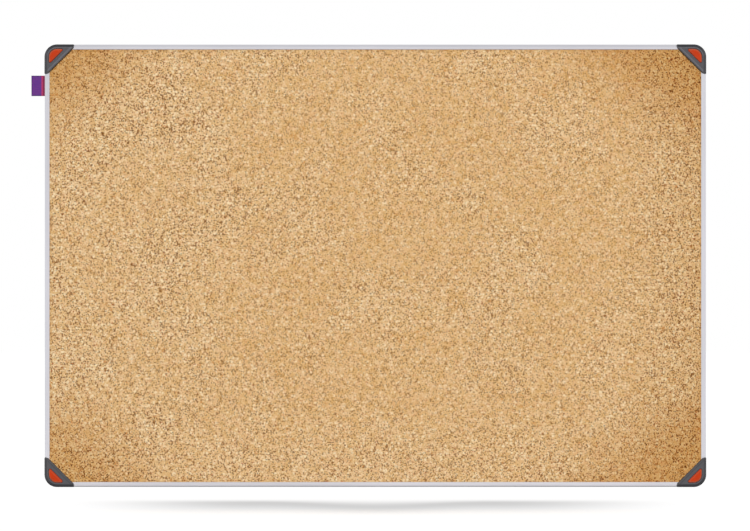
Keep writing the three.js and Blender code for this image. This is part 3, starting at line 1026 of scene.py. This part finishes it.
def combined(
    base: bpy.types.Mesh, join: Iterable[bpy.types.Mesh] = (), cut: Iterable[bpy.types.Mesh] = ()
) -> bpy.types.Mesh:
    """A solid with others joined to it and others cut from the result.

    Args:
        base: The first solid.
        join: Solids to add.
        cut: Solids to take away.

    Returns:
        The resulting mesh. The given meshes are removed.
    """
    collection = bpy.context.scene.collection
    work = bpy.data.objects.new("work", base)
    collection.objects.link(work)
    tools = []
    for operation, meshes in (("UNION", join), ("DIFFERENCE", cut)):
        for mesh in meshes:
            tool = bpy.data.objects.new("tool", mesh)
            collection.objects.link(tool)
            tools.append(tool)
            step = work.modifiers.new(operation.lower(), "BOOLEAN")
            step.operation = operation
            step.solver = "EXACT"
            step.object = tool
    graph = bpy.context.evaluated_depsgraph_get()
    result = bpy.data.meshes.new_from_object(work.evaluated_get(graph))
    for spent in (work, *tools):
        mesh = spent.data
        bpy.data.objects.remove(spent)
        bpy.data.meshes.remove(mesh)
    return result


def smoothed(mesh: bpy.types.Mesh) -> bpy.types.Mesh:
    """Shades a mesh smoothly, apart from its sharp edges.

    Args:
        mesh: The mesh.

    Returns:
        The same mesh.
    """
    mesh.shade_smooth()
    mesh.set_sharp_from_angle(angle=SMOOTH_ANGLE)
    return mesh


@dataclass(frozen=True)
class Seat:
    """Where a piece goes and what it stands for."""

    node: str
    body: str
    slot: str
    at: Sequence[float]
    turn: float = 0.0


def seat_piece(
    name: str, mesh: bpy.types.Mesh, finish: Finish, seat: Seat, spin: float = 0.0
) -> bpy.types.Object:
    """Makes a piece of a mesh, puts it in the place of its solid and dresses it.

    Args:
        name: The piece's name.
        mesh: Its mesh, in the piece's own frame.
        finish: Its finish.
        seat: Its place, body, slot and the solid that it replaces.
        spin: A further turn about the piece's own depth axis.

    Returns:
        The piece.
    """
    piece = bpy.data.objects.new(name, mesh)
    bpy.context.scene.collection.objects.link(piece)
    piece.location = seat.at
    piece.rotation_euler = (0.0, seat.turn + spin, 0.0)
    if not mesh.materials:
        mesh.materials.append(material_of(finish))
    even = piece.modifiers.new("even_faces", "WEIGHTED_NORMAL")
    even.keep_sharp = True
    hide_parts(seat.node)
    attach(piece, seat.body)
    LOG.info("%s stands for %s on %s", name, seat.node, seat.body)
    return piece


class Place(Enum):
    """A place round the frame: its name, and which way it lies from the middle."""

    def __init__(self, label: str, right: int, up: int) -> None:
        """Keeps the place's facts."""
        self.label = label
        self.right = right
        self.up = up

    @property
    def number(self) -> int:
        """Its number, anticlockwise from the first place of its kind."""
        return list(type(self)).index(self)

    @property
    def turn(self) -> float:
        """The turn that brings a piece here from the first place of this kind."""
        return -QUARTER_TURN * self.number


class Side(Place):
    """A side of the frame."""

    BOTTOM = ("bottom", 0, -1)
    RIGHT = ("right", 1, 0)
    TOP = ("top", 0, 1)
    LEFT = ("left", -1, 0)

    @property
    def ends(self) -> tuple[str, str]:
        """Names of its rail's two ends, which are those of the sides before and after it."""
        sides = list(Side)
        return sides[self.number - 1].label, sides[(self.number + 1) % len(sides)].label


class Corner(Place):
    """A corner of the frame."""

    BOTTOM_LEFT = ("bottom_left", -1, -1)
    BOTTOM_RIGHT = ("bottom_right", 1, -1)
    TOP_RIGHT = ("top_right", 1, 1)
    TOP_LEFT = ("top_left", -1, 1)


@dataclass(frozen=True)
class Depths:
    """Distances in front of the wall plane that several pieces share."""

    lip_back: float = 2.5 * MM
    key_back: float = 3.95 * MM
    key_front: float = 6.45 * MM
    well_back: float = 6.6 * MM
    well_floor: float = 8.6 * MM
    cork_front: float = 17.2 * MM
    rail_front: float = 18.6 * MM
    plate_back: float = 18.75 * MM
    ledge: float = 19.1 * MM
    cap_front: float = 21.15 * MM
    seat_gap: float = 0.15 * MM


@dataclass(frozen=True)
class Board:
    """Sizes of the whole board, over the outer faces of its rails, and those that its pieces share."""

    width: float = 900 * MM
    height: float = 602 * MM
    body: str = "board"
    depths: Depths = Depths()
    rail_screw_along: float = 74.522 * MM
    rail_screw_in: float = 5.15 * MM
    rail_screw_radius: float = 1.5 * MM
    hole_clearance: float = 0.15 * MM

    def spot(self, place: Place, x: float = 0.0, y: float = 0.0, z: float = 0.0) -> Vector:
        """A point of the board, given from one of its places and in the frame of a piece turned to it."""
        start = Vector((place.right * self.width / 2, 0.0, place.up * self.height / 2))
        return start + Matrix.Rotation(place.turn, 4, "Y") @ Vector((x, y, z))


@dataclass
class PinPanel:
    """Cork face, fibreboard core and kraft back, which keep their solids."""

    cork_node: str = "cork_sheet"
    core_node: str = "softboard_core"
    back_node: str = "backing_board"

    def dress(self) -> None:
        """Gives each sheet its finish."""
        for node, finish in ((self.cork_node, CORK), (self.core_node, SOFTBOARD), (self.back_node, KRAFT)):
            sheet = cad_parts[node]
            sheet.data.materials.clear()
            sheet.data.materials.append(material_of(finish))
            LOG.info("%s dressed in %s", node, finish.name)


@dataclass
class Screw:
    """A pan-head screw with a cross recess; its seat is at depth 0 and its shank points to the front."""

    shank_radius: float
    shank_length: float
    head_radius: float = 2.7 * MM
    head_height: float = 1.9 * MM
    crown_share: float = 0.62
    flat_share: float = 0.42
    crown_steps: int = 6
    seat_chamfer: float = 0.12 * MM
    thread_pitch: float = 0.9 * MM
    thread_depth: float = 0.25 * MM
    thread_start: float = 0.3 * MM
    plain_end: float = 1.2 * MM
    point_length: float = 0.7 * MM
    point_radius: float = 0.5 * MM
    recess_reach: float = 1.5 * MM
    recess_width: float = 0.42 * MM
    recess_depth: float = 1.25 * MM
    recess_insets: Pair = (-0.08 * MM, 0.14 * MM)
    recess_above: float = 0.4 * MM

    def build(self) -> bpy.types.Mesh:
        """Makes the screw's mesh.

        Returns:
            The mesh.
        """
        head = prism(Outline.circle(0.0, 0.0, self.head_radius), (*self.crown(), *self.shank()))
        arms, side = self.recess_reach, self.recess_width
        quarter = [(side, -arms), (side, -side), (arms, -side)]
        bends: list[Bend] = []
        for _ in range(4):
            bends += [Bend(x, z) for x, z in quarter]
            quarter = [(-z, x) for x, z in quarter]
        top = -self.head_height
        wide, narrow = self.recess_insets
        slope = ((wide, top - self.recess_above), (narrow, top + self.recess_depth))
        recess = prism(Outline(tuple(bends)), slope)
        return smoothed(combined(head, cut=[recess]))

    def crown(self) -> list[Pair]:
        """The head's profile from its crown to its seat.

        Returns:
            Insets from the head's radius, with depths.
        """
        drop = self.head_height * self.crown_share
        flat = self.head_radius * self.flat_share
        profile = []
        for step in range(self.crown_steps + 1):
            angle = QUARTER_TURN * step / self.crown_steps
            inset = (self.head_radius - flat) * (1 - math.sin(angle))
            profile.append((inset, drop * (1 - math.cos(angle)) - self.head_height))
        return [*profile, (0.0, -self.seat_chamfer), (self.seat_chamfer, 0.0)]

    def shank(self) -> list[Pair]:
        """The shank's profile, with thread ridges, from the seat to the point.

        Returns:
            Insets from the head's radius, with depths.
        """
        crest = self.head_radius - self.shank_radius
        root = crest + self.thread_depth
        profile = [(root, 0.0)]
        turns = int((self.shank_length - self.plain_end) / self.thread_pitch)
        for turn in range(turns):
            start = self.thread_start + turn * self.thread_pitch
            profile += [(root, start), (crest, start + self.thread_pitch / 2)]
        tip = (self.head_radius - self.point_radius, self.shank_length)
        return [*profile, (root, self.shank_length - self.point_length), tip]


@dataclass
class FrameRails:
    """Four extruded rails and the screws that hold their ends to the corner keys."""

    board: Board
    spin_seed: int = 7
    end_gap: float = 35.622 * MM
    hole_behind: float = 5 * MM
    hole_depth: float = 1.4 * MM
    section: Outline = Outline.of(
        (0, 2.5, 0.5),
        (9, 2.5, 0.3),
        (9, 3.7, 0.3),
        (1.2, 3.7, 0.3),
        (1.2, 6.7, 0.3),
        (9, 6.7, 0.25),
        (9, 7.7, 0.25),
        (1.2, 7.7, 0.2),
        (1.2, 17.4, 0.2),
        (6.8, 17.4, 0.2),
        (6.8, 18.6, 0.45),
        (3.4, 18.6, 1.2),
        (1.2, 17.98, 0.8),
        (0, 16.4, 0.8),
    )

    def build(self) -> None:
        """Makes the rails and their screws."""
        board, depths = self.board, self.board.depths
        screw = Screw(board.rail_screw_radius, depths.key_front - depths.lip_back).build()
        screw_depth = depths.lip_back - depths.seat_gap
        turns = random.Random(self.spin_seed)
        for side in Side:
            name = side.label
            span = board.width if side.right == 0 else board.height
            reach = span / 2 - board.rail_screw_along
            rail_seat = Seat(f"{name}_rail", board.body, "aluminium", board.spot(side), side.turn)
            seat_piece(f"rail_{name}", self.rail(span - 2 * self.end_gap, reach), ALUMINIUM, rail_seat)
            for along, end in zip((-reach, reach), side.ends):
                place = board.spot(side, along, -screw_depth, board.rail_screw_in)
                seat = Seat(f"{name}_rail_screw_{end}", board.body, ZINC_SCREW.name, place)
                seat_piece(f"screw_{name}_{end}", screw, ZINC_SCREW, seat, turns.uniform(0, math.pi))

    def rail(self, length: float, screw_reach: float) -> bpy.types.Mesh:
        """Makes one rail along X, as it lies at the bottom of the frame.

        Args:
            length: The rail's length.
            screw_reach: Distance of its screw holes from its middle.

        Returns:
            The rail's mesh.
        """
        bar = slab(self.section, -length / 2, length / 2)
        # The section's first number becomes the height and its second the depth
        bar.transform(Matrix(((0, -1, 0, 0), (0, 0, -1, 0), (1, 0, 0, 0), (0, 0, 0, 1))))
        board = self.board
        radius = board.rail_screw_radius + board.hole_clearance
        back, front = board.depths.lip_back - self.hole_behind, board.depths.lip_back + self.hole_depth
        holes = [
            slab(Outline.circle(along, board.rail_screw_in, radius), back, front)
            for along in (-screw_reach, screw_reach)
        ]
        return smoothed(combined(bar, cut=holes))


@dataclass
class CornerSet:
    """At each corner a steel key, a moulded cap over it, a cover in the cap and two screws."""

    board: Board
    spin_seed: int = 3
    shoulder: float = 35.322 * MM
    boss_place: float = 12.908 * MM
    boss_radius: float = 5.5 * MM
    wall_hole_radius: float = 3 * MM
    pillar_along: float = 29.722 * MM
    pillar_in: float = 5.1 * MM
    pillar_radius: float = 2.6 * MM
    screw_radius: float = 1.4 * MM
    screw_bite: float = 6 * MM
    pilot_room: float = 0.6 * MM
    key_hole_radius: float = 5.9 * MM
    key_hole_flare: float = 0.2 * MM
    screw_hole_flare: float = 0.15 * MM
    key_chamfer: float = 0.25 * MM
    cap_foot: float = 0.3 * MM
    rim_gap: float = 0.35 * MM
    boss_chamfer: float = 0.4 * MM
    sink_depth: float = 0.7 * MM
    sink_rise: float = 0.2 * MM
    bevel_height: float = 2.4 * MM
    bevel_widths: tuple[float, ...] = (4.5 * MM, 1.2 * MM, 0.7 * MM, 1.2 * MM, 4.5 * MM)
    face_nose_radius: float = 13 * MM
    bevel_shape: Profile = (
        (0.0, 0.0),
        (0.02, 0.1),
        (0.08, 0.2),
        (0.19, 0.3),
        (0.78, 0.7),
        (0.88, 0.755),
        (0.97, 0.785),
        (1.0, 1.0),
    )
    bead_width: float = 4.2 * MM
    bead_slope: float = 2.4 * MM
    bead_height: float = 0.5 * MM
    slope_shape: Profile = (
        (0.0, 0.0),
        (0.12, 0.03),
        (0.3, 0.18),
        (0.55, 0.5),
        (0.8, 0.82),
        (1.0, 1.06),
    )
    cap_outline: Outline = Outline.of(
        (-0.1, -0.1, 17), (40.622, -0.1, 1.3), (39.422, 5, 1.3), (5, 39.422, 1.3), (-0.1, 40.622, 1.3)
    )
    hollow_outline: Outline = Outline.of((1.9, 1.9, 15), (60, 1.9), (60, 60), (1.9, 60))
    rim_outline: Outline = Outline.of((32.322, 7.15), (34.585, 7.15), (7.15, 34.585), (7.15, 32.322))
    cover_outline: Outline = Outline.of((5.75, 5.75, 11.15), (27.85, 5.75, 2), (5.75, 27.85, 2))
    key_outline: Outline = Outline.of(
        (2.3, 2.3, 14.6),
        (82.52, 2.3, 1),
        (82.52, 8, 1),
        (38.888, 8, 4),
        (8, 38.888, 4),
        (8, 82.52, 1),
        (2.3, 82.52, 1),
    )
    cover_profile: Profile = (
        (1.85, 19.6), (1.85, 16.5), (1.75, 16.25), (1.05, 16.25), (0.95, 16.4), (0.95, 19.25),
        (0.45, 19.25), (0.42, 19.8), (0.5, 20.02), (0.75, 20.22), (1.2, 20.44), (1.8, 20.66),
        (2.3, 20.77), (2.9, 20.82), (3.6, 20.84),
    )
    well_ledge: float = 0.7 * MM
    well_wall: float = 1.5 * MM
    well_mouth: float = 1 * MM
    lip_flare: float = 0.45 * MM
    lip_shape: Profile = ((0.0, 1.0), (0.3, 0.4), (1.0, 0.0))

    def build(self) -> None:
        """Makes the pieces of all four corners."""
        board, depths = self.board, self.board.depths
        kinds = (
            ("key", "corner_key", self.key(), ZINC_PLATE),
            ("cap", "corner_cap", self.cap(), GREY_PLASTIC),
            ("well_cover", "screw_cover", self.cover(), ORANGE_PLASTIC),
        )
        screw = Screw(self.screw_radius, depths.key_front - depths.key_back + self.screw_bite).build()
        screw_depth = depths.key_back - depths.seat_gap
        turns = random.Random(self.spin_seed)
        for corner in Corner:
            name = corner.label
            for piece, node, mesh, finish in kinds:
                body = f"cover_{name}" if node == "screw_cover" else board.body
                seat = Seat(f"{node}_{name}", body, finish.name, board.spot(corner), corner.turn)
                seat_piece(f"{piece}_{name}", mesh, finish, seat)
            for index, (x, z) in enumerate(self.pillars(), start=1):
                place = board.spot(corner, x, -screw_depth, z)
                seat = Seat(f"cap_screw_{name}_{index}", board.body, ZINC_SCREW.name, place)
                spin = turns.uniform(0, math.pi)
                seat_piece(f"pillar_screw_{name}_{index}", screw, ZINC_SCREW, seat, spin)

    def pillars(self) -> tuple[Pair, Pair]:
        """Places of the two screw pillars."""
        return (self.pillar_along, self.pillar_in), (self.pillar_in, self.pillar_along)

    def key(self) -> bpy.types.Mesh:
        """Makes the stamped plate that joins two rails.

        Returns:
            The key's mesh.
        """
        board = self.board
        back, front = board.depths.key_back, board.depths.key_front
        along, inwards = board.rail_screw_along, board.rail_screw_in
        boss = self.boss_place
        holes = [drill(boss, boss, self.key_hole_radius, back, front, self.key_hole_flare)]
        for radius, places in (
            (self.screw_radius, self.pillars()),
            (board.rail_screw_radius, ((along, inwards), (inwards, along))),
        ):
            wide = radius + board.hole_clearance
            holes += [drill(x, z, wide, back, front, self.screw_hole_flare) for x, z in places]
        return smoothed(combined(slab(self.key_outline, back, front, self.key_chamfer), cut=holes))

    def cap_shell(self) -> bpy.types.Mesh:
        """Makes the cap's outer form: a wall and a bevel that is widest along the rails.

        Returns:
            The solid form's mesh.
        """
        front = self.board.depths.cap_front
        wall = self.cap_outline.points()
        face = self.cap_outline.inset(*self.bevel_widths).rounded(0, self.face_nose_radius).points()
        rings = [[Vector((point.x, -depth, point.y)) for point in wall] for depth in (0.0, self.cap_foot)]
        for inwards, forwards in self.bevel_shape:
            depth = front - self.bevel_height * (1 - forwards)
            points = [outer.lerp(inner, inwards) for outer, inner in zip(wall, face)]
            rings.append([Vector((point.x, -depth, point.y)) for point in points])
        return loft(rings)

    def face_recess(self) -> bpy.types.Mesh:
        """Makes the cutter that sinks the cap's face and leaves a bead along the diagonal edge.

        Returns:
            The cutter's mesh.
        """
        front = self.board.depths.cap_front
        diagonal = self.cap_outline.bends[2]
        reach = diagonal.x + diagonal.z - self.bead_width * math.sqrt(2)
        far = reach + BEYOND
        beyond = Outline((Bend(-BEYOND, -BEYOND), Bend(far, -BEYOND), Bend(-BEYOND, far)))
        slope = [
            (-self.bead_slope * outwards, front - self.bead_height * (1 - upwards))
            for outwards, upwards in self.slope_shape
        ]
        return prism(beyond, (*slope, (-self.bead_slope, front + BEYOND)))

    def cap(self) -> bpy.types.Mesh:
        """Makes the cap: a hollow shell with a screw well, a wall boss and two pillars.

        Returns:
            The cap's mesh.
        """
        depths = self.board.depths
        far = self.shoulder + 2 * BEYOND
        out = -BEYOND
        beside = (
            Outline((Bend(self.shoulder, out), Bend(far, out), Bend(far, far), Bend(self.shoulder, far))),
            Outline((Bend(out, self.shoulder), Bend(far, self.shoulder), Bend(far, far), Bend(out, far))),
        )
        cuts = [slab(outline, -BEYOND, depths.plate_back) for outline in (self.hollow_outline, *beside)]
        shell = combined(self.cap_shell(), cut=cuts)
        in_plate = (depths.plate_back + depths.cap_front) / 2
        chamfer = self.boss_chamfer
        boss = Outline.circle(self.boss_place, self.boss_place, self.boss_radius)
        joins = [
            slab(self.rim_outline, depths.cork_front + self.rim_gap, in_plate),
            slab(self.cover_outline.inset(-self.well_wall), depths.well_back, in_plate),
            prism(boss, ((chamfer, 0.0), (0.0, chamfer), (0.0, depths.well_floor))),
        ]
        for x, z in self.pillars():
            joins.append(slab(Outline.circle(x, z, self.pillar_radius), depths.well_back, in_plate))
        return smoothed(combined(shell, join=joins, cut=self.cap_cutters()))

    def cap_cutters(self) -> list[bpy.types.Mesh]:
        """Makes the cap's cutters: face recess, cover pocket, well, wall screw's hole and pilots.

        Returns:
            The cutters' meshes.
        """
        depths = self.board.depths
        front, flare = depths.cap_front - self.bead_height, self.lip_flare
        lip = [(-flare * outwards, front - flare * below) for outwards, below in self.lip_shape]
        pocket = ((0.0, depths.ledge), *lip, (-flare, front + BEYOND))
        floor, sink, rise = depths.well_floor, self.sink_depth, self.sink_rise
        hole = ((0.0, -BEYOND), (0.0, floor - sink), (-sink - rise, floor + rise))
        wall_hole = Outline.circle(self.boss_place, self.boss_place, self.wall_hole_radius)
        cutters = [
            self.face_recess(),
            prism(self.cover_outline, pocket),
            slab(self.cover_outline.inset(self.well_ledge), floor, depths.ledge + self.well_mouth),
            prism(wall_hole, hole),
        ]
        pilot = self.screw_radius + self.board.hole_clearance
        pilot_front = depths.key_front + self.screw_bite + self.pilot_room
        for x, z in self.pillars():
            cutters.append(slab(Outline.circle(x, z, pilot), 0.0, pilot_front))
        return cutters

    def cover(self) -> bpy.types.Mesh:
        """Makes the cover: a crowned plate with a soft edge and a hollow skirt that snaps into the well.

        Returns:
            The cover's mesh.
        """
        profile = [(inset * MM, depth * MM) for inset, depth in self.cover_profile]
        return smoothed(prism(self.cover_outline, profile))


@dataclass
class WovenTag:
    """A ribbon folded in two, with its fold outside the frame and its ends glued behind the left rail."""

    board: Board
    width: float = 27.8 * MM
    reach: float = 20.4 * MM
    tail: float = 6.5 * MM
    cloth: float = 0.45 * MM
    fold_radius: float = 0.4 * MM
    middle_depth: float = 1.65 * MM
    below_top: float = 54.922 * MM
    bulge: float = 0.35 * MM
    curl: float = 0.5 * MM
    steps_along: int = 30
    steps_fold: int = 8
    steps_across: int = 24

    def build(self) -> None:
        """Makes the tag and gives the cloth its thickness."""
        at = (-self.board.width / 2, 0.0, self.board.height / 2 - self.below_top)
        seat = Seat("woven_tag", self.board.body, "tag_cloth", at)
        tag = seat_piece("folded_tag", self.ribbon(), RIBBON, seat)
        thick = tag.modifiers.new("cloth", "SOLIDIFY")
        thick.thickness = self.cloth
        thick.offset = 0.0

    def path(self) -> list[Pair]:
        """The ribbon's line from one end over the fold to the other.

        Returns:
            Distances from the rail's outer face, with depths.
        """
        turn = self.fold_radius - self.reach
        front, back = self.middle_depth + self.fold_radius, self.middle_depth - self.fold_radius
        shares = [step / self.steps_along for step in range(self.steps_along)]
        line = [(self.tail + (turn - self.tail) * share, front) for share in shares]
        for step in range(self.steps_fold + 1):
            angle = math.pi * step / self.steps_fold
            out = self.fold_radius * math.sin(angle)
            line.append((turn - out, self.middle_depth + self.fold_radius * math.cos(angle)))
        line += [(turn + (self.tail - turn) * share, back) for share in shares[1:]]
        line.append((self.tail, back))
        return line

    def ribbon(self) -> bpy.types.Mesh:
        """Makes the folded ribbon as one sheet.

        Returns:
            The ribbon's mesh.
        """
        sheet = bmesh.new()
        rows = []
        for x, depth in self.path():
            row = []
            free = max(0.0, -x / self.reach)
            for step in range(self.steps_across + 1):
                across = 2 * step / self.steps_across - 1
                swell = self.bulge * math.sin(math.pi * free) * (1 - across * across)
                lift = self.curl * free * free * across * across * across
                row.append(sheet.verts.new((x, -(depth + swell + lift), across * self.width / 2)))
            rows.append(row)
        for first, second in zip(rows, rows[1:]):
            for step in range(self.steps_across):
                sheet.faces.new((first[step], first[step + 1], second[step + 1], second[step]))
        mesh = bpy.data.meshes.new("ribbon")
        sheet.to_mesh(mesh)
        sheet.free()
        return smoothed(mesh)


@dataclass
class Studio:
    """Camera, soft light and a pale floor with a faint real shadow and a painted one."""

    board: Board
    lens: float = 100.0
    sensor: float = 36.0
    distance: float = 2.834
    camera_right: float = -0.48 * MM
    camera_up: float = 0.3 * MM
    floor_height: float = -330 * MM
    floor_half: float = 5.0
    key_way: tuple[float, float, float] = (0.03, 1.0, -0.28)
    key_softness: float = math.radians(14)
    key_power: float = 2.1
    sky_level: float = 0.5
    overhead_dimming: float = 0.2
    overhead: Pair = (0.1, 0.6)

    def build(self) -> None:
        """Sets up the whole studio."""
        scene = bpy.context.scene
        scene.view_settings.view_transform = "Standard"
        self.camera(scene)
        self.sky(scene)
        self.key_light(self.floor())
        LOG.info("studio set up")

    def camera(self, scene: bpy.types.Scene) -> None:
        """Puts the camera square in front of the board.

        Args:
            scene: The scene that it belongs to.
        """
        data = bpy.data.cameras.new("camera")
        data.lens = self.lens
        data.sensor_width = self.sensor
        camera = bpy.data.objects.new("camera", data)
        scene.collection.objects.link(camera)
        front = -self.board.depths.rail_front
        camera.location = (self.camera_right, front - self.distance, self.camera_up)
        camera.rotation_euler = (QUARTER_TURN, 0.0, 0.0)
        scene.camera = camera

    def key_light(self, floor: bpy.types.Object) -> None:
        """Adds a soft, even light from the front and above, which leaves the floor alone.

        Args:
            floor: The floor.
        """
        data = bpy.data.lights.new("key", "SUN")
        data.angle = self.key_softness
        data.energy = self.key_power
        lamp = bpy.data.objects.new("key", data)
        lamp.rotation_euler = Vector(self.key_way).to_track_quat("-Z", "Y").to_euler()
        lamp.visible_glossy = False
        bpy.context.scene.collection.objects.link(lamp)
        kept_dark = bpy.data.collections.new("kept_dark")
        kept_dark.objects.link(floor)
        kept_dark.collection_objects[0].light_linking.link_state = "EXCLUDE"
        lamp.light_linking.receiver_collection = kept_dark

    def sky(self, scene: bpy.types.Scene) -> None:
        """Makes the surroundings: white round the horizon and greyer overhead.

        Args:
            scene: The scene that they surround.
        """
        world = bpy.data.worlds.new("studio")
        world.use_nodes = True
        scene.world = world
        graph = Graph(world.node_tree)
        up = graph.parts(graph.add("ShaderNodeTexCoord", output="Generated"))[2]
        level = 1 - self.overhead_dimming * up.rise(*self.overhead)
        straight, mirrored = graph.sight()
        seen = straight + mirrored
        background = world.node_tree.nodes["Background"]
        graph.feed(background.inputs["Color"], level * (seen + (1 - seen) * self.sky_level))

    def floor(self) -> bpy.types.Object:
        """Lays a pale floor a little below the board.

        Returns:
            The floor.
        """
        half = self.floor_half
        ends = ((-half, -half), (half, -half), (half, half), (-half, half))
        mesh = bpy.data.meshes.new("floor")
        mesh.from_pydata([(x, y, self.floor_height) for x, y in ends], [], [(0, 1, 2, 3)])
        mesh.materials.append(material_of(PALE_FLOOR))
        floor = bpy.data.objects.new("floor", mesh)
        bpy.context.scene.collection.objects.link(floor)
        return floor


def main() -> None:
    """Builds the board and its studio in order."""
    logging.basicConfig(level=logging.INFO, format="%(message)s")
    board = Board()
    Studio(board).build()
    PinPanel().dress()
    FrameRails(board).build()
    CornerSet(board).build()
    WovenTag(board).build()


if __name__ == "__main__":
    main()
